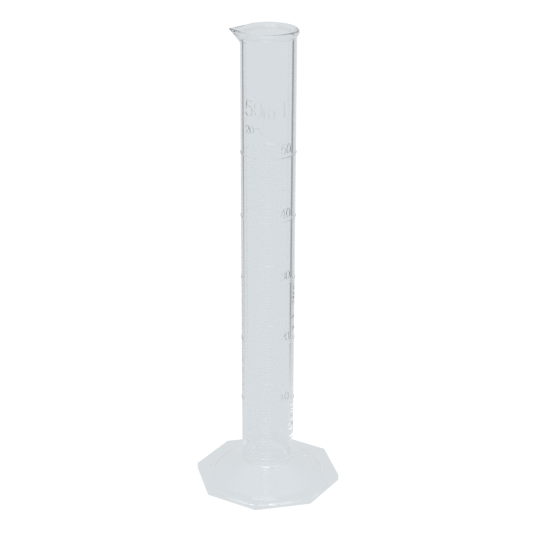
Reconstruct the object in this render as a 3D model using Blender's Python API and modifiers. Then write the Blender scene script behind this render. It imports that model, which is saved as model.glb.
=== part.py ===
"""Graduated cylinder of 50 ml for photographic chemicals, moulded in clear plastic.

Two mouldings: a tall measuring tube with a closed floor, a raised scale and a pouring lip, and a
low octagonal foot, hollow underneath, with a seat that the end of the tube is cemented into.
Metres, +Z up. The origin is on the tube's axis, on the surface that the foot stands on. The
pouring lip points to -X and the scale faces -Y.
"""

import math

import bpy

# Driving dimensions of the tube.
TUBE_LENGTH = 0.2032
TUBE_RADIUS_AT_FLOOR = 0.01175
TUBE_RADIUS_AT_MOUTH = 0.0121
WALL = 0.0015
FLOOR_THICKNESS = 0.0014
FLOOR_CORNER = 0.0015
END_CHAMFER = 0.0003

# Driving dimensions of the mouth: a rounded rim, and the lip pulled out of it.
RIM_PROUD = 0.00085
RIM_BELOW_CREST = 0.0009
RIM_HEIGHT = 0.0029
LIP_REACH = 0.0050
LIP_DEPTH = 0.0072
LIP_FALL = 1.2
LIP_TIP_DROP = 0.0006
LIP_STEPS = 6

# Driving dimensions of the scale: one raised ring for each 10 ml.
RING_VOLUME = 10e-6
RING_PROUD = 0.00025
RING_WIDTH = 0.0009
HEAD_ROOM = 0.045

# Driving dimensions of the foot.
FOOT_ACROSS_CORNERS = 0.0668
FOOT_EDGE_HEIGHT = 0.00275
FOOT_EDGE_ROUND = 0.0004
CONE_RADIUS = 0.0264
HUB_HEIGHT = 0.0104
HUB_LAND = 0.0006
FOOT_SHELL = 0.0020
SEAT_DEPTH = 0.0014
SEAT_WIDTH = 0.0022
SEAT_THICKNESS = 0.0016

# The film of cement between the tube and its seat.
CEMENT_GAP = 0.0003

ROUND_STEPS = 72
FOOT_SIDES = 8
CUTTER_MARGIN = 0.002
MERGE = 0.00001

# Levels and radii that follow from them.
SEAT_LEVEL = HUB_HEIGHT - SEAT_DEPTH
TUBE_END = SEAT_LEVEL + CEMENT_GAP
FLOOR_LEVEL = TUBE_END + FLOOR_THICKNESS
CREST = TUBE_END + TUBE_LENGTH
TAPER = (TUBE_RADIUS_AT_MOUTH - TUBE_RADIUS_AT_FLOOR) / (CREST - FLOOR_LEVEL)


def tube_radius(z):
    """Outside radius of the tube, which widens a little towards the mouth so that it leaves its mould."""
    return TUBE_RADIUS_AT_FLOOR + TAPER * (z - FLOOR_LEVEL)


SEAT_RADIUS = tube_radius(HUB_HEIGHT) + CEMENT_GAP


def fill_level(volume):
    """Level in the tapered bore that this volume fills the tube to."""
    bore = TUBE_RADIUS_AT_FLOOR - WALL
    corner_area = (1 - math.pi / 4) * FLOOR_CORNER**2
    volume = volume + corner_area * math.tau * (bore - FLOOR_CORNER / 4)
    if TAPER == 0:
        return FLOOR_LEVEL + volume / (math.pi * bore**2)
    return FLOOR_LEVEL + (math.cbrt(bore**3 + 3 * TAPER * volume / math.pi) - bore) / TAPER


def fresh_collection(name):
    collection = bpy.data.collections.new(name)
    bpy.context.scene.collection.children.link(collection)
    return collection


def clear_plastic(name, colour):
    material = bpy.data.materials.new(name)
    material.use_nodes = True
    shader = material.node_tree.nodes["Principled BSDF"]
    shader.inputs["Base Color"].default_value = (*colour, 1)
    shader.inputs["Metallic"].default_value = 0
    shader.inputs["Roughness"].default_value = 0.04
    shader.inputs["IOR"].default_value = 1.57
    shader.inputs["Transmission Weight"].default_value = 0.9
    return material


def arc(centre_r, centre_z, radius, start, end, steps):
    """Points (r, z) on an arc of this profile, between two angles in degrees."""
    angles = [math.radians(start + (end - start) * i / steps) for i in range(steps + 1)]
    return [(centre_r + radius * math.cos(a), centre_z + radius * math.sin(a)) for a in angles]


def turned(name, profile, collection):
    """A solid of revolution. The profile starts and ends on the axis and runs down its outer side."""
    mesh = bpy.data.meshes.new(name)
    edges = [(i, i + 1) for i in range(len(profile) - 1)]
    mesh.from_pydata([(r, 0, z) for r, z in profile], edges, [])
    piece = bpy.data.objects.new(name, mesh)
    collection.objects.link(piece)
    screw = piece.modifiers.new("Turn", "SCREW")
    screw.steps = ROUND_STEPS
    screw.render_steps = ROUND_STEPS
    screw.use_merge_vertices = True
    screw.merge_threshold = MERGE
    return piece


def made_mesh(piece):
    """Replaces an object's mesh and modifiers with the shape that they make."""
    graph = bpy.context.evaluated_depsgraph_get()
    mesh = bpy.data.meshes.new_from_object(piece.evaluated_get(graph))
    piece.modifiers.clear()
    piece.data = mesh
    return mesh


def combine(piece, other, operation):
    modifier = piece.modifiers.new(other.name, "BOOLEAN")
    modifier.operation = operation
    modifier.object = other
    modifier.solver = "EXACT"


def smooth(piece):
    piece.data.shade_smooth()
    piece.data.set_sharp_from_angle(angle=math.radians(30))


def ring_levels():
    """The 10 ml levels that leave the head room free under the mouth."""
    levels = []
    while fill_level(RING_VOLUME * (len(levels) + 1)) < CREST - HEAD_ROOM:
        levels.append(fill_level(RING_VOLUME * (len(levels) + 1)))
    return levels


def lip_levels(top):
    """Levels down the wall, from under this one to where the lip has faded out."""
    step = LIP_DEPTH / LIP_STEPS
    levels = [CREST - LIP_DEPTH + step * i for i in range(LIP_STEPS)]
    return [z for z in levels if z < top - step / 2]


def tube_profile():
    """Half section of the tube, from the middle of its floor, up the bore and down the outside."""
    bore_at_floor = TUBE_RADIUS_AT_FLOOR - WALL
    bore_at_mouth = TUBE_RADIUS_AT_MOUTH - WALL
    rim = TUBE_RADIUS_AT_MOUTH + RIM_PROUD
    crest_round = RIM_BELOW_CREST
    points = [(0, FLOOR_LEVEL)]
    corner = (bore_at_floor - FLOOR_CORNER, FLOOR_LEVEL + FLOOR_CORNER)
    points += arc(*corner, FLOOR_CORNER, -90, 0, 4)
    points += [(tube_radius(z) - WALL, z) for z in lip_levels(CREST - crest_round)]
    points += arc(bore_at_mouth + crest_round, CREST - crest_round, crest_round, 180, 90, 4)
    points += arc(rim - crest_round, CREST - crest_round, crest_round, 90, 0, 4)[1:]
    rim_foot = CREST - RIM_HEIGHT
    points.append(((rim + tube_radius(rim_foot)) / 2, (CREST - crest_round + rim_foot) / 2 - crest_round / 4))
    points.append((tube_radius(rim_foot), rim_foot))
    points += [(tube_radius(z), z) for z in reversed(lip_levels(rim_foot))]
    for z in reversed(ring_levels()):
        points.append((tube_radius(z), z + RING_WIDTH / 2))
        points.append((tube_radius(z) + RING_PROUD, z))
        points.append((tube_radius(z), z - RING_WIDTH / 2))
    end_radius = tube_radius(TUBE_END)
    points.append((end_radius, TUBE_END + END_CHAMFER))
    points.append((end_radius - END_CHAMFER, TUBE_END))
    points.append((0, TUBE_END))
    return points


def pull_lip(mesh):
    """Pulls the mouth out to -X in a V whose sides are tangent to the rim and fade down the wall."""
    for vertex in mesh.vertices:
        x, y, z = vertex.co
        r = math.hypot(x, y)
        depth = CREST - z
        if r < TUBE_RADIUS_AT_FLOOR / 2 or depth > LIP_DEPTH:
            continue
        reach = LIP_REACH * (1 - depth / LIP_DEPTH) ** LIP_FALL
        half_angle = math.acos(TUBE_RADIUS_AT_MOUTH / (TUBE_RADIUS_AT_MOUTH + reach))
        off_axis = abs(math.atan2(y, -x))
        if off_axis >= half_angle:
            continue
        # The rim's bead thins away along the lip, and the lip's tip hangs a little low.
        share = 1 - off_axis / half_angle
        proud = max(0, r - tube_radius(z))
        r = (r - proud * share) / math.cos(half_angle - off_axis)
        r += proud * share * off_axis / half_angle
        turn = math.atan2(y, x)
        vertex.co = (r * math.cos(turn), r * math.sin(turn), z - LIP_TIP_DROP * share * (1 - depth / LIP_DEPTH))


def make_tube(collection):
    """The measuring tube: wall, floor, rim, pouring lip and 10 ml rings in one moulding."""
    tube = turned("measuring_tube", tube_profile(), collection)
    pull_lip(made_mesh(tube))
    smooth(tube)
    tube.data.materials.append(clear_plastic("tube_plastic", (0.90, 0.94, 0.95)))
    return tube


def foot_plate(collection):
    """The octagonal plate, with a corner towards each axis and its upper edges rounded."""
    half = FOOT_EDGE_HEIGHT / 2
    radius = FOOT_ACROSS_CORNERS / 2
    bpy.ops.mesh.primitive_cylinder_add(
        vertices=FOOT_SIDES, radius=radius, depth=FOOT_EDGE_HEIGHT, location=(0, 0, half)
    )
    plate = bpy.context.object
    plate.name = "octagonal_foot"
    plate.data.name = "octagonal_foot"
    for owner in plate.users_collection:
        owner.objects.unlink(plate)
    collection.objects.link(plate)
    weights = plate.data.attributes.new("bevel_weight_edge", "FLOAT", "EDGE")
    for edge in plate.data.edges:
        heights = [plate.data.vertices[i].co.z for i in edge.vertices]
        weights.data[edge.index].value = 1 if max(heights) > 0 else 0
    bevel = plate.modifiers.new("Rounded edges", "BEVEL")
    bevel.limit_method = "WEIGHT"
    bevel.width = FOOT_EDGE_ROUND
    bevel.segments = 2
    return plate


def make_foot(collection, cutters):
    """The foot: the plate, a cone rising to the tube, a recess underneath and the tube's seat."""
    foot = foot_plate(collection)
    top_radius = SEAT_RADIUS + HUB_LAND
    slope = (HUB_HEIGHT - FOOT_EDGE_HEIGHT) / (CONE_RADIUS - top_radius)
    inside_plate = FOOT_EDGE_HEIGHT / 2
    cone = turned(
        "cone",
        [(0, HUB_HEIGHT), (top_radius, HUB_HEIGHT), (CONE_RADIUS, FOOT_EDGE_HEIGHT),
         (CONE_RADIUS, inside_plate), (0, inside_plate)],
        cutters,
    )
    combine(foot, cone, "UNION")

    # The recess's cone lies one shell thickness under the outer cone.
    shell_drop = FOOT_SHELL * math.hypot(1, slope)
    under_seat = SEAT_LEVEL - SEAT_THICKNESS

    def recess_radius(z):
        return CONE_RADIUS - (z + shell_drop - FOOT_EDGE_HEIGHT) / slope

    recess = turned(
        "recess",
        [(0, under_seat), (recess_radius(under_seat), under_seat),
         (recess_radius(-CUTTER_MARGIN), -CUTTER_MARGIN), (0, -CUTTER_MARGIN)],
        cutters,
    )
    combine(foot, recess, "DIFFERENCE")

    window_radius = SEAT_RADIUS - SEAT_WIDTH
    above = HUB_HEIGHT + CUTTER_MARGIN
    seat = turned(
        "seat",
        [(0, above), (SEAT_RADIUS, above), (SEAT_RADIUS, SEAT_LEVEL), (window_radius, SEAT_LEVEL),
         (window_radius, under_seat - CUTTER_MARGIN), (0, under_seat - CUTTER_MARGIN)],
        cutters,
    )
    combine(foot, seat, "DIFFERENCE")

    made_mesh(foot)
    smooth(foot)
    foot.data.materials.clear()
    foot.data.materials.append(clear_plastic("foot_plastic", (0.88, 0.93, 0.94)))
    return foot


for leftover in list(bpy.data.objects):
    bpy.data.objects.remove(leftover, do_unlink=True)

parts = fresh_collection("graduated_cylinder")
cutters = fresh_collection("cutters")
make_tube(parts)
make_foot(parts, cutters)
for cutter in cutters.objects:
    cutter.hide_render = True
    cutter.display_type = "WIRE"
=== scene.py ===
"""Looks of a 50 ml graduated cylinder for photographic chemicals: a clear moulded measuring tube with a
raised scale, cemented into a clear octagonal foot. Metres, +Z up, pouring lip to -X, scale to -Y."""

import math

import bmesh
import bpy
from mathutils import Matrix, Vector


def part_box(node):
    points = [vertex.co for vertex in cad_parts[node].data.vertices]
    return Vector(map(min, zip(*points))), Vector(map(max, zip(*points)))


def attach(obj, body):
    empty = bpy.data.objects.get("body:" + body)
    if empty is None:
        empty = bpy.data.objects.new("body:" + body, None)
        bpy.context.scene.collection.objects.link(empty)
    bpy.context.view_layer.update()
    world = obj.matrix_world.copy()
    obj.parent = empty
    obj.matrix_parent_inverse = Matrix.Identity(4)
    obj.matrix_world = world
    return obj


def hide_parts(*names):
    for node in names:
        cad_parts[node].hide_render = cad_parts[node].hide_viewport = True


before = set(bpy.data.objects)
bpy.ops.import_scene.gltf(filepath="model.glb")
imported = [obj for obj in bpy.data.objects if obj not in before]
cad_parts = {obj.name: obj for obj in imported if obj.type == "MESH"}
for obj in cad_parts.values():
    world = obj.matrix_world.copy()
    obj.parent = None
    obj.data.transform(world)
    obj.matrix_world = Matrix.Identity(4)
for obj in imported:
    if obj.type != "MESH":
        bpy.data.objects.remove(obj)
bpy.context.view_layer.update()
scene = bpy.context.scene

# Camera. It stands in front of the scale, a little towards the side away from the pouring lip, and
# looks down on the foot from about twice the cylinder's height.
CAMERA_DISTANCE = 0.66532
CAMERA_HEIGHT = 0.37882
CAMERA_AZIMUTH = math.radians(279.35)
CAMERA_TILT = math.radians(-22.38)
CAMERA_PAN = math.radians(0.060)
CAMERA_ROLL = math.radians(0.12)
LENS = 109.58
SENSOR = 36.0
CLIP_START = 0.01
CLIP_END = 20

lens = bpy.data.cameras.new("studio_camera")
lens.lens = LENS
lens.sensor_width = SENSOR
lens.clip_start = CLIP_START
lens.clip_end = CLIP_END
camera = bpy.data.objects.new("studio_camera", lens)
scene.collection.objects.link(camera)
camera.location = (
    CAMERA_DISTANCE * math.cos(CAMERA_AZIMUTH),
    CAMERA_DISTANCE * math.sin(CAMERA_AZIMUTH),
    CAMERA_HEIGHT,
)
camera.rotation_euler = (math.pi / 2 + CAMERA_TILT, 0, CAMERA_AZIMUTH + math.pi / 2 + CAMERA_PAN)
camera.rotation_euler.rotate_axis("Z", CAMERA_ROLL)
scene.camera = camera

# Table. White paper that is overexposed where the camera sees it bare, and pale grey in the even light
# that reaches it through a clear object. Two floors in one place carry the two exposures: only the
# camera sees the white one, and only light that has met the object sees the grey one.
FLOOR_SIZE = 40
BARE_WHITE = 1.02
PAPER_GREY = (0.708, 0.738, 0.765)


def flat_sheet(name, size):
    """A flat square about its own origin, facing +Z."""
    builder = bmesh.new()
    bmesh.ops.create_grid(builder, x_segments=4, y_segments=4, size=0.5)
    bmesh.ops.scale(builder, vec=(size, size, 1), verts=builder.verts)
    mesh = bpy.data.meshes.new(name)
    builder.to_mesh(mesh)
    builder.free()
    sheet = bpy.data.objects.new(name, mesh)
    scene.collection.objects.link(sheet)
    return sheet


def glowing(name, colour, strength):
    """Paper in even light, the same from every side."""
    material = bpy.data.materials.new(name)
    material.use_nodes = True
    surface = material.node_tree.nodes["Principled BSDF"]
    surface.inputs["Base Color"].default_value = (0, 0, 0, 1)
    surface.inputs["Roughness"].default_value = 1.0
    surface.inputs["Specular IOR Level"].default_value = 0.0
    surface.inputs["Emission Color"].default_value = (*colour, 1)
    surface.inputs["Emission Strength"].default_value = strength
    return material


bare_floor = flat_sheet("studio_floor", FLOOR_SIZE)
bare_floor.data.materials.append(glowing("bare_white_paper", (1, 1, 1), BARE_WHITE))
bare_floor.visible_transmission = False
bare_floor.visible_glossy = False
bare_floor.visible_diffuse = False
paper_floor = flat_sheet("studio_floor_through_glass", FLOOR_SIZE)
paper_floor.visible_camera = False

# Painted flag shadows. Two soft dark wedges painted into the grey paper's own glow, to each side behind
# the object, for this camera. No flag is modelled. Clear walls bend the wedges into their dark inner lines.
# Edges are bearings in degrees from straight behind, and starts are distances in metres from the object.
SHADOW_EDGES = (35, 41, 50, 56)
SHADOW_GREY = 0.06
SHADOW_DEPTHS = {"left": 0.70, "right": 0.74}
SHADOW_STARTS = {"left": (0.05, 0.45), "right": (0.065, 0.17)}

paper = glowing("lit_grey_paper_with_painted_shadows", PAPER_GREY, 1.0)
nodes = paper.node_tree.nodes
links = paper.node_tree.links


def paper_math(operation, first, second=None):
    """A node that works out one number from the place on the paper."""
    node = nodes.new("ShaderNodeMath")
    node.operation = operation
    for socket, value in zip(node.inputs, (first, second)):
        if isinstance(value, (int, float)):
            socket.default_value = value
        elif value is not None:
            links.new(value, socket)
    return node.outputs[0]


def paper_ramp(value, start, end, low, high, shape="SMOOTHSTEP"):
    """A node that goes from low to high as the value goes from start to end."""
    node = nodes.new("ShaderNodeMapRange")
    node.interpolation_type = shape
    node.inputs["From Min"].default_value = start
    node.inputs["From Max"].default_value = end
    node.inputs["To Min"].default_value = low
    node.inputs["To Max"].default_value = high
    links.new(value, node.inputs["Value"])
    return node.outputs["Result"]


place = nodes.new("ShaderNodeTexCoord")
turned_place = nodes.new("ShaderNodeMapping")
turned_place.inputs["Rotation"].default_value = (0, 0, -(CAMERA_AZIMUTH + math.pi))
split = nodes.new("ShaderNodeSeparateXYZ")
links.new(place.outputs["Object"], turned_place.inputs["Vector"])
links.new(turned_place.outputs["Vector"], split.inputs[0])
x_squared = paper_math("POWER", split.outputs["X"], 2)
y_squared = paper_math("POWER", split.outputs["Y"], 2)
reach_squared = paper_math("ADD", x_squared, y_squared)
reach = paper_math("SQRT", reach_squared)
shade_of_paper = 0
for side, sign in (("left", 1), ("right", -1)):
    bearing = paper_math("ARCTAN2", paper_math("MULTIPLY", split.outputs["Y"], sign), split.outputs["X"])
    near_edge = paper_ramp(bearing, math.radians(SHADOW_EDGES[0]), math.radians(SHADOW_EDGES[1]), 0, 1)
    far_edge = paper_ramp(bearing, math.radians(SHADOW_EDGES[2]), math.radians(SHADOW_EDGES[3]), 1, 0)
    start = paper_ramp(reach, *SHADOW_STARTS[side], 0, SHADOW_DEPTHS[side], "LINEAR")
    shadow = paper_math("MULTIPLY", paper_math("MULTIPLY", near_edge, far_edge), start)
    shade_of_paper = paper_math("ADD", shadow, shade_of_paper)
# Painted shadows: inside the wedges the paper's glow is mixed toward SHADOW_GREY.
tone = nodes.new("ShaderNodeMix")
tone.data_type = "RGBA"
tone.inputs["A"].default_value = (*PAPER_GREY, 1)
tone.inputs["B"].default_value = (SHADOW_GREY, SHADOW_GREY, SHADOW_GREY, 1)
links.new(shade_of_paper, tone.inputs["Factor"])
links.new(tone.outputs["Result"], nodes["Principled BSDF"].inputs["Emission Color"])
paper_floor.data.materials.append(paper)

# Room. Soft, slightly blue light from all round, brighter overhead. Light that crosses more surfaces
# than LONGEST_PATH is lost, which draws part of the dark line along the tube's rim.
ROOM_SIDE = 0.71
ROOM_TOP = 0.98
ROOM_TOP_START = 0.55
ROOM_TOP_END = 0.95
ROOM_COLOUR = (0.95, 0.98, 1)
LONGEST_PATH = 44

room = bpy.data.worlds.new("studio_room")
room.use_nodes = True
nodes = room.node_tree.nodes
links = room.node_tree.links
place = nodes.new("ShaderNodeTexCoord")
split = nodes.new("ShaderNodeSeparateXYZ")
overhead = nodes.new("ShaderNodeMapRange")
overhead.interpolation_type = "SMOOTHSTEP"
overhead.inputs["From Min"].default_value = ROOM_TOP_START
overhead.inputs["From Max"].default_value = ROOM_TOP_END
overhead.inputs["To Min"].default_value = ROOM_SIDE
overhead.inputs["To Max"].default_value = ROOM_TOP
links.new(place.outputs["Generated"], split.inputs[0])
links.new(split.outputs["Z"], overhead.inputs["Value"])
links.new(overhead.outputs["Result"], nodes["Background"].inputs["Strength"])
nodes["Background"].inputs["Color"].default_value = (*ROOM_COLOUR, 1)
scene.world = room
scene.view_settings.view_transform = "Standard"
scene.cycles.max_bounces = LONGEST_PATH
scene.cycles.transmission_bounces = LONGEST_PATH
scene.cycles.glossy_bounces = LONGEST_PATH

# Soft box. A large square light in front of the table and above it, which draws a fine bright line on
# every edge that leans back.
SOFT_BOX_SIDE = 0.9
SOFT_BOX_DISTANCE = 1.3
SOFT_BOX_RISE = math.radians(44)
SOFT_BOX_TURN = math.radians(-8)
SOFT_BOX_POWER = 2.4

soft_box = bpy.data.lights.new("studio_soft_box", "AREA")
soft_box.shape = "SQUARE"
soft_box.size = SOFT_BOX_SIDE
soft_box.energy = SOFT_BOX_POWER
soft_box_stand = bpy.data.objects.new("studio_soft_box", soft_box)
scene.collection.objects.link(soft_box_stand)
toward_box = Vector((
    math.cos(SOFT_BOX_RISE) * math.cos(CAMERA_AZIMUTH + SOFT_BOX_TURN),
    math.cos(SOFT_BOX_RISE) * math.sin(CAMERA_AZIMUTH + SOFT_BOX_TURN),
    math.sin(SOFT_BOX_RISE),
))
soft_box_stand.location = toward_box * SOFT_BOX_DISTANCE
soft_box_stand.rotation_euler = toward_box.to_track_quat("Z", "Y").to_euler()

# Measuring tube. One injection moulding in clear styrene plastic: a wall that widens a little towards
# the mouth, a closed floor, a rounded rim and a pouring lip. Its height comes from the CAD node's box.
# Its radii, wall, rim and lip are its own values, and differ a little from the CAD tube's.
tube_low, tube_high = (Vector(corner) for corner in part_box("measuring_tube"))
TUBE_END = tube_low.z
CREST = tube_high.z
RADIUS_AT_FLOOR = 0.01163
RADIUS_AT_MOUTH = 0.01198
WALL = 0.00156
CORE_SHIFT = 0.00028
FLOOR_THICKNESS = 0.0014
FLOOR_CORNER = 0.0015
HUB_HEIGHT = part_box("octagonal_foot")[1][2]
WINDOW_RADIUS = 0.0096
RIM_PROUD = 0.00097
RIM_HEIGHT = 0.0036
LIP_REACH = 0.0051
LIP_DEPTH = 0.0072
LIP_FALL = 1.2
LIP_TIP_DROP = 0.0006
LIP_ROWS = 16
RIM_ROWS = 12
AROUND = 256
WELD = 0.00001
ROW_MARGIN = 0.0002

FLOOR_LEVEL = TUBE_END + FLOOR_THICKNESS
TAPER = (RADIUS_AT_MOUTH - RADIUS_AT_FLOOR) / (CREST - FLOOR_LEVEL)


def tube_radius(z):
    return RADIUS_AT_FLOOR + TAPER * (z - FLOOR_LEVEL)


def arc(centre_r, centre_z, radius, start, end, steps):
    """Points (r, z) on an arc of a half section, between two angles in degrees."""
    angles = [math.radians(start + (end - start) * i / steps) for i in range(steps + 1)]
    return [(centre_r + radius * math.cos(a), centre_z + radius * math.sin(a)) for a in angles]


def turned(name, profile):
    """A solid of revolution about Z. The half section starts and ends on the axis."""
    mesh = bpy.data.meshes.new(name)
    mesh.from_pydata([(r, 0, z) for r, z in profile], [(i, i + 1) for i in range(len(profile) - 1)], [])
    piece = bpy.data.objects.new(name, mesh)
    scene.collection.objects.link(piece)
    screw = piece.modifiers.new("Turn", "SCREW")
    screw.steps = AROUND
    screw.render_steps = AROUND
    screw.use_merge_vertices = True
    screw.merge_threshold = WELD
    return piece


def apply_modifiers(piece):
    graph = bpy.context.evaluated_depsgraph_get()
    mesh = bpy.data.meshes.new_from_object(piece.evaluated_get(graph))
    piece.modifiers.clear()
    piece.data = mesh


def combine(piece, other, operation, solver):
    """Joins or cuts with another object, which is then removed."""
    modifier = piece.modifiers.new(other.name, "BOOLEAN")
    modifier.operation = operation
    modifier.object = other
    modifier.solver = solver
    apply_modifiers(piece)
    bpy.data.objects.remove(other, do_unlink=True)


crest_round = WALL / 2 + RIM_PROUD / 2
bore_at_floor = RADIUS_AT_FLOOR - WALL
bore_at_mouth = RADIUS_AT_MOUTH - WALL
lip_rows = [CREST - LIP_DEPTH * (1 - i / LIP_ROWS) for i in range(LIP_ROWS)]
rim_foot = CREST - RIM_HEIGHT
section = [(0, FLOOR_LEVEL)]
section += arc(bore_at_floor - FLOOR_CORNER, FLOOR_LEVEL + FLOOR_CORNER, FLOOR_CORNER, -90, 0, 10)
section += [(tube_radius(z) - WALL, z) for z in lip_rows if z < CREST - crest_round - ROW_MARGIN]
section += arc(bore_at_mouth + crest_round, CREST - crest_round, crest_round, 180, 0, 16)
for i in range(1, RIM_ROWS + 1):
    fall = i / RIM_ROWS
    z = CREST - crest_round - fall * (RIM_HEIGHT - crest_round)
    section += [(tube_radius(z) + RIM_PROUD * (1 + math.cos(math.pi * fall)) / 2, z)]
section += [(tube_radius(z), z) for z in reversed(lip_rows) if z < rim_foot - ROW_MARGIN]
section += [(tube_radius(HUB_HEIGHT), HUB_HEIGHT), (tube_radius(TUBE_END), TUBE_END)]
section += [(WINDOW_RADIUS, TUBE_END), (0, TUBE_END)]
tube = turned("clear_measuring_tube", section)
apply_modifiers(tube)

# The bore is set a little off centre, towards the lip, as a mould core that stood off centre leaves it.
for vertex in tube.data.vertices:
    inward = (tube_radius(vertex.co.z) - math.hypot(vertex.co.x, vertex.co.y)) / WALL
    if vertex.co.z > FLOOR_LEVEL - WELD:
        vertex.co.x -= CORE_SHIFT * min(1, max(0, inward))

# The pouring lip is a V whose sides are tangent to the rim. It fades down the wall.
for vertex in tube.data.vertices:
    x, y, z = vertex.co
    r = math.hypot(x, y)
    depth = CREST - z
    if r < RADIUS_AT_FLOOR / 2 or depth > LIP_DEPTH:
        continue
    reach = LIP_REACH * (1 - depth / LIP_DEPTH) ** LIP_FALL
    half_angle = math.acos(RADIUS_AT_MOUTH / (RADIUS_AT_MOUTH + reach))
    off_axis = abs(math.atan2(y, -x))
    if off_axis >= half_angle:
        continue
    share = 1 - off_axis / half_angle
    proud = max(0, r - tube_radius(z))
    r = (r - proud * share) / math.cos(half_angle - off_axis)
    r += proud * share * off_axis / half_angle
    turn = math.atan2(y, x)
    vertex.co = (r * math.cos(turn), r * math.sin(turn), z - LIP_TIP_DROP * share * (1 - depth / LIP_DEPTH))

# Raised scale, in the same moulding as the tube: a ring every 10 ml, and shorter lines for 5 ml, 1 ml
# and half a millilitre, engraved in the mould as round-bottomed grooves. It is laid out for a bore of
# radius SCALE_BORE at the floor, as in the CAD, which is a little wider than the bore made above.
RING_VOLUME = 10e-6
SCALE_BORE = 0.01025
HEAD_ROOM = 0.045
LINE_PROUD = 0.0002
LINE_HALF_WIDTH = 0.00023
RING_PROUD = 0.00029
RING_HALF_WIDTH = 0.00032
SCALE_LEFT = math.radians(232)
HALF_LEFT = math.radians(240)
HALF_RIGHT = math.radians(284)
ONE_RIGHT = math.radians(299)
FIVE_RIGHT = math.radians(318)
RIDGE_SIDES = 11
RIDGE_ROOT = 0.00003
TIP_WIDTHS = (0.80, 0.35)


def fill_level(volume):
    """Level that this volume reaches in the tapered bore that the scale is laid out for."""
    corner_area = (1 - math.pi / 4) * FLOOR_CORNER**2
    volume = volume + corner_area * math.tau * (SCALE_BORE - FLOOR_CORNER / 4)
    return FLOOR_LEVEL + (math.cbrt(SCALE_BORE**3 + 3 * TAPER * volume / math.pi) - SCALE_BORE) / TAPER


def ridge(shapes, path, half_width, proud, closed=False):
    """Adds to shapes a low rounded bead along a path of (azimuth, z) on the wall, its root sunk in it."""
    round_radius = (half_width**2 + proud**2) / (2 * proud)
    spread = math.acos((round_radius - proud - RIDGE_ROOT) / round_radius)
    section = []
    for k in range(RIDGE_SIDES - 2):
        angle = spread * (1 - 2 * k / (RIDGE_SIDES - 3))
        up = round_radius * math.cos(angle) - round_radius + proud
        section.append((round_radius * math.sin(angle), up))
    section += [(-half_width, -3 * RIDGE_ROOT), (half_width, -3 * RIDGE_ROOT)]
    points = [Vector((tube_radius(z) * math.cos(a), tube_radius(z) * math.sin(a), z)) for a, z in path]
    count = len(points)
    rings = []
    for i, point in enumerate(points):
        back = points[i - 1] if i or closed else point
        ahead = points[(i + 1) % count] if i < count - 1 or closed else point
        before = (point - back).normalized()
        after = (ahead - point).normalized()
        along = (before + after).normalized()
        out = Vector((point.x, point.y, 0)).normalized()
        side = along.cross(out).normalized()
        turn = max(0.5, along.dot(after if after.length else before))
        rings.append([point + side * across / turn + out * up for across, up in section])
    if not closed:
        for end, inner in ((0, 1), (-1, -2)):
            run = (points[end] - points[inner]).normalized()
            centre = points[end]
            tips = []
            for share in TIP_WIDTHS:
                reach = half_width * math.sqrt(1 - share**2)
                tips.append([centre + (p - centre) * share + run * reach for p in rings[end]])
            if end == 0:
                rings = [tips[1], tips[0]] + rings
            else:
                rings = rings + tips
    vertices = [[shapes.verts.new(p) for p in ring] for ring in rings]
    pairs = list(zip(vertices, vertices[1:] + vertices[:1] if closed else vertices[1:]))
    for first, second in pairs:
        for k in range(RIDGE_SIDES):
            shapes.faces.new((first[k], first[k - 1], second[k - 1], second[k]))
    if not closed:
        shapes.faces.new(vertices[0])
        shapes.faces.new(reversed(vertices[-1]))


def union_ridges(shapes):
    """Joins ridges that don't meet each other to the tube."""
    bmesh.ops.recalc_face_normals(shapes, faces=shapes.faces)
    mesh = bpy.data.meshes.new("ridges")
    shapes.to_mesh(mesh)
    shapes.free()
    ridges = bpy.data.objects.new("ridges", mesh)
    scene.collection.objects.link(ridges)
    combine(tube, ridges, "UNION", "MANIFOLD")


def line(start, end, z):
    steps = max(8, round((end - start) / math.radians(3)))
    return [(start + (end - start) * i / steps, z) for i in range(steps + 1)]


ring_levels = []
while fill_level(RING_VOLUME * (len(ring_levels) + 1)) < CREST - HEAD_ROOM:
    ring_levels.append(fill_level(RING_VOLUME * (len(ring_levels) + 1)))
shapes = bmesh.new()
for z in ring_levels:
    ridge(shapes, line(0, math.tau, z)[:-1], RING_HALF_WIDTH, RING_PROUD, closed=True)
for half_millilitre in range(1, 20 * len(ring_levels)):
    z = fill_level(half_millilitre * RING_VOLUME / 20)
    if half_millilitre % 20 == 0:
        continue
    if half_millilitre % 10 == 0:
        ridge(shapes, line(SCALE_LEFT, FIVE_RIGHT, z), LINE_HALF_WIDTH, LINE_PROUD)
    elif half_millilitre % 2 == 0:
        ridge(shapes, line(SCALE_LEFT, ONE_RIGHT, z), LINE_HALF_WIDTH, LINE_PROUD)
    else:
        ridge(shapes, line(HALF_LEFT, HALF_RIGHT, z), LINE_HALF_WIDTH, LINE_PROUD)
union_ridges(shapes)

# Figures and capacity, raised like the scale: a number over each ring, and the capacity and the
# temperature that it holds for near the mouth. Each character is one to three plain strokes.
FIGURE_HEIGHT = 0.0041
FIGURE_WIDTH = 0.0022
FIGURE_STEP = 0.0028
FIGURE_LEFT = math.radians(308)
FIGURE_RISE = 0.0019
STROKE = 0.00026
LEGEND_LEFT = math.radians(226)
LEGEND_BASE = 0.1769
LEGEND_HEIGHT = 0.0067
LEGEND_WIDTH = 0.0035
LEGEND_STEP = 0.0047
LEGEND_STROKE = 0.00040
UNIT_LEFT = math.radians(270)
UNIT_WIDTH = 0.0046
UNIT_STEP = 0.00685
NOTE_BASE = 0.1694
NOTE_HEIGHT = 0.0033
NOTE_WIDTH = 0.0019
NOTE_STEP = 0.0025
NOTE_STROKE = STROKE * 0.9
FIGURE_PROUD = LINE_PROUD * 1.3


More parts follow.
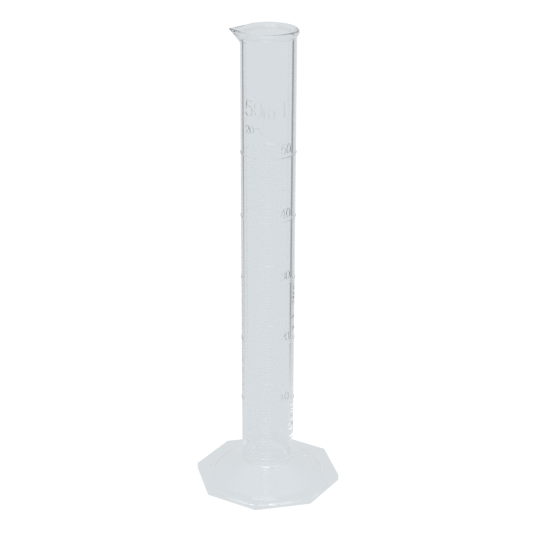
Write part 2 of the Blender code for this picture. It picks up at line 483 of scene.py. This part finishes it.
def bow(cx, cy, rx, ry, start, end, steps=14):
    """Points on an arc of an ellipse, in shares of a character's width and height."""
    angles = [math.radians(start + (end - start) * i / steps) for i in range(steps + 1)]
    return [(cx + rx * math.cos(a), cy + ry * math.sin(a)) for a in angles]


def strokes_of(character):
    """The strokes of a character in a box 1 wide and 1 high, and whether each one closes."""
    if character == "0":
        return [(bow(0.5, 0.5, 0.5, 0.5, 0, 345, 23), True)]
    if character == "1":
        return [([(0.2, 0.78), (0.55, 1.0), (0.55, 0.0)], False)]
    if character == "2":
        return [(bow(0.5, 0.72, 0.5, 0.28, 165, -35) + [(0.0, 0.0), (1.0, 0.0)], False)]
    if character == "3":
        return [
            (bow(0.48, 0.77, 0.42, 0.23, 155, -90), False),
            (bow(0.48, 0.27, 0.52, 0.27, 90, -155), False),
        ]
    if character == "4":
        return [([(0.72, 0.0), (0.72, 1.0)], False), ([(0.70, 1.0), (0.0, 0.3), (1.0, 0.3)], False)]
    if character == "5":
        return [([(0.92, 1.0), (0.14, 1.0), (0.05, 0.54)] + bow(0.48, 0.33, 0.52, 0.33, 130, -155), False)]
    if character == "m":
        left = bow(0.25, 0.42, 0.25, 0.20, 180, 0) + [(0.5, 0.0)]
        right = bow(0.75, 0.42, 0.25, 0.20, 180, 0) + [(1.0, 0.0)]
        return [([(0.0, 0.0), (0.0, 0.62)], False), (left, False), (right, False)]
    if character == "l":
        return [([(0.5, 0.0), (0.5, 1.0)], False)]
    if character == "C":
        return [(bow(0.5, 0.5, 0.5, 0.5, 50, 310), False)]
    if character == "°":
        return [(bow(0.5, 0.82, 0.3, 0.16, 0, 330, 11), True)]
    return []


def write(text, left, base, height, width, step, stroke):
    """Raises a line of characters on the wall, one union for each stroke, because strokes cross."""
    for place, character in enumerate(text):
        for stroke_path, closed in strokes_of(character):
            path = []
            for across, up in stroke_path:
                z = base + up * height
                path.append((left + (place * step + across * width) / tube_radius(z), z))
            shapes = bmesh.new()
            ridge(shapes, path, stroke, FIGURE_PROUD, closed)
            union_ridges(shapes)


for number, z in enumerate(ring_levels, 1):
    write(f"{10 * number}", FIGURE_LEFT, z + FIGURE_RISE, FIGURE_HEIGHT, FIGURE_WIDTH, FIGURE_STEP, STROKE)
write("50", LEGEND_LEFT, LEGEND_BASE, LEGEND_HEIGHT, LEGEND_WIDTH, LEGEND_STEP, LEGEND_STROKE)
write("ml", UNIT_LEFT, LEGEND_BASE, LEGEND_HEIGHT, UNIT_WIDTH, UNIT_STEP, LEGEND_STROKE)
write("20°C", LEGEND_LEFT, NOTE_BASE, NOTE_HEIGHT, NOTE_WIDTH, NOTE_STEP, NOTE_STROKE)


TUBE_SHARP_ANGLE = math.radians(35)
WALL_TOLERANCE = 0.00002
STEEPEST_WALL_NORMAL = 0.1


def shade(piece, on_wall):
    """Smooth shading up to an edge, but faces on the turned wall take its exact normals."""
    mesh = piece.data
    mesh.shade_smooth()
    mesh.set_sharp_from_angle(angle=TUBE_SHARP_ANGLE)
    normals = [Vector(corner.vector) for corner in mesh.corner_normals]
    for face in mesh.polygons:
        if not on_wall(face.center, face.normal):
            continue
        for corner in face.loop_indices:
            point = mesh.vertices[mesh.loops[corner].vertex_index].co
            normals[corner] = Vector((point.x, point.y, 0)).normalized()
    mesh.normals_split_custom_set(normals)


def on_outer_wall(centre, normal):
    radius = math.hypot(centre.x, centre.y)
    away = abs(radius - tube_radius(centre.z))
    upright = abs(normal.z) < STEEPEST_WALL_NORMAL
    return away < WALL_TOLERANCE and TUBE_END < centre.z < CREST - LIP_DEPTH and upright


shade(tube, on_outer_wall)


STYRENE_IOR = 1.57
FLOW_SCALE = 45
WEAR_SCALE = 260


def clear_plastic(name, tint, flow_tint, polish, scratched):
    """Clear moulded plastic: a faint flow pattern in the tint, and a surface less smooth in places."""
    material = bpy.data.materials.new(name)
    material.use_nodes = True
    nodes = material.node_tree.nodes
    links = material.node_tree.links
    shader = nodes["Principled BSDF"]
    shader.inputs["IOR"].default_value = STYRENE_IOR
    shader.inputs["Transmission Weight"].default_value = 1.0
    place = nodes.new("ShaderNodeTexCoord")
    flow = nodes.new("ShaderNodeTexNoise")
    flow.inputs["Scale"].default_value = FLOW_SCALE
    flow.inputs["Detail"].default_value = 2
    tone = nodes.new("ShaderNodeMix")
    tone.data_type = "RGBA"
    tone.inputs["A"].default_value = (*tint, 1)
    tone.inputs["B"].default_value = (*flow_tint, 1)
    wear = nodes.new("ShaderNodeTexNoise")
    wear.inputs["Scale"].default_value = WEAR_SCALE
    wear.inputs["Detail"].default_value = 4
    gloss = nodes.new("ShaderNodeMapRange")
    gloss.inputs["From Min"].default_value = 0.35
    gloss.inputs["From Max"].default_value = 0.8
    gloss.inputs["To Min"].default_value = polish
    gloss.inputs["To Max"].default_value = scratched
    links.new(place.outputs["Object"], flow.inputs["Vector"])
    links.new(place.outputs["Object"], wear.inputs["Vector"])
    links.new(flow.outputs["Fac"], tone.inputs["Factor"])
    links.new(tone.outputs["Result"], shader.inputs["Base Color"])
    links.new(wear.outputs["Fac"], gloss.inputs["Value"])
    links.new(gloss.outputs["Result"], shader.inputs["Roughness"])
    return material


TUBE_TINT = (0.972, 0.980, 0.986)
TUBE_FLOW_TINT = (0.980, 0.986, 0.990)
POLISHED = 0.0
SCRATCHED = 0.02
tube_plastic = clear_plastic("tube_clear_styrene", TUBE_TINT, TUBE_FLOW_TINT, POLISHED, SCRATCHED)
tube.data.materials.clear()
tube.data.materials.append(tube_plastic)
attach(tube, "root")
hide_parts("measuring_tube")

# Foot. An octagonal plate that rises in a low cone to a seat for the tube, hollow underneath and open
# below the tube's floor, moulded in the same clear plastic. The tube's end is cemented into the seat.
FOOT_RADIUS = 0.0334
EDGE_HEIGHT = 0.00275
EDGE_ROUND = 0.0004
CONE_RADIUS = 0.0264
CONE_STEP = 0.0007
CONE_STEP_HEIGHT = 0.85
HUB_LAND = 0.0002
SHELL = 0.0020
SEAT_GAP = 0.00001
SEAT_LEVEL = TUBE_END - SEAT_GAP
SEAT_THICKNESS = 0.0007
CUT_MARGIN = 0.002
FOOT_SIDES = 8
FOOT_SHARP_ANGLE = math.radians(25)

builder = bmesh.new()
bmesh.ops.create_cone(
    builder,
    cap_ends=True,
    segments=FOOT_SIDES,
    radius1=FOOT_RADIUS,
    radius2=FOOT_RADIUS,
    depth=EDGE_HEIGHT,
)
bmesh.ops.translate(builder, verts=builder.verts, vec=(0, 0, EDGE_HEIGHT / 2))
rounded = [edge for edge in builder.edges if max(v.co.z for v in edge.verts) > EDGE_HEIGHT / 2]
bmesh.ops.bevel(builder, geom=rounded, offset=EDGE_ROUND, segments=4, affect="EDGES", profile=0.5)
foot_mesh = bpy.data.meshes.new("clear_foot")
builder.to_mesh(foot_mesh)
builder.free()
foot = bpy.data.objects.new("clear_octagonal_foot", foot_mesh)
scene.collection.objects.link(foot)

seat_radius = tube_radius(HUB_HEIGHT) + SEAT_GAP
top_radius = seat_radius + HUB_LAND
slope = (HUB_HEIGHT - EDGE_HEIGHT) / (CONE_RADIUS - top_radius)
shell_drop = SHELL * math.hypot(1, slope)
under_seat = SEAT_LEVEL - SEAT_THICKNESS


def recess_radius(z):
    return CONE_RADIUS - (z + shell_drop - EDGE_HEIGHT) / slope


# The cone ends in a small rounded step where it meets the plate.
step_rise = slope * CONE_STEP
cone = turned(
    "cone",
    [(0, HUB_HEIGHT), (top_radius, HUB_HEIGHT), (CONE_RADIUS - CONE_STEP, EDGE_HEIGHT + step_rise),
     (CONE_RADIUS - CONE_STEP / 3, EDGE_HEIGHT + step_rise * CONE_STEP_HEIGHT), (CONE_RADIUS, EDGE_HEIGHT),
     (CONE_RADIUS, EDGE_HEIGHT / 2), (0, EDGE_HEIGHT / 2)],
)
combine(foot, cone, "UNION", "EXACT")
recess = turned(
    "recess",
    [(0, under_seat), (recess_radius(under_seat), under_seat),
     (recess_radius(-CUT_MARGIN), -CUT_MARGIN), (0, -CUT_MARGIN)],
)
combine(foot, recess, "DIFFERENCE", "EXACT")
above = HUB_HEIGHT + CUT_MARGIN
seat = turned(
    "seat",
    [(0, above), (seat_radius, above), (seat_radius, SEAT_LEVEL), (WINDOW_RADIUS, SEAT_LEVEL),
     (WINDOW_RADIUS, under_seat - CUT_MARGIN), (0, under_seat - CUT_MARGIN)],
)
combine(foot, seat, "DIFFERENCE", "EXACT")
foot.data.shade_smooth()
foot.data.set_sharp_from_angle(angle=FOOT_SHARP_ANGLE)

# The foot keeps the plastic's own tint, made a little darker than the tube's as painted shade for light
# that would cross it twice.
FOOT_TINT_AND_SHADE = (0.965, 0.976, 0.984)
FOOT_FLOW_TINT_AND_SHADE = (0.975, 0.983, 0.988)
foot_plastic = clear_plastic("foot_clear_styrene_painted_shade", FOOT_TINT_AND_SHADE, FOOT_FLOW_TINT_AND_SHADE, POLISHED, SCRATCHED)
foot.data.materials.clear()
foot.data.materials.append(foot_plastic)
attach(foot, "root")
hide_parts("octagonal_foot")

# Cement. A film of solvent cement joins the end of the tube to its seat. It leaves no air between
# the two, so light passes straight from one piece into the other.
cement = bpy.data.materials.new("clear_cement")
cement.use_nodes = True
film = cement.node_tree.nodes["Principled BSDF"]
film.inputs["Base Color"].default_value = (1, 1, 1, 1)
film.inputs["Roughness"].default_value = 0.0
film.inputs["IOR"].default_value = 1.0
film.inputs["Transmission Weight"].default_value = 1.0
for piece in (tube, foot):
    piece.data.materials.append(cement)
    for face in piece.data.polygons:
        radius = math.hypot(face.center.x, face.center.y)
        on_side = abs(radius - seat_radius) < 5 * SEAT_GAP and SEAT_LEVEL < face.center.z < HUB_HEIGHT
        on_end = abs(face.center.z - SEAT_LEVEL) < 2 * SEAT_GAP and WINDOW_RADIUS < radius < seat_radius
        if on_side or on_end:
            face.material_index = 1
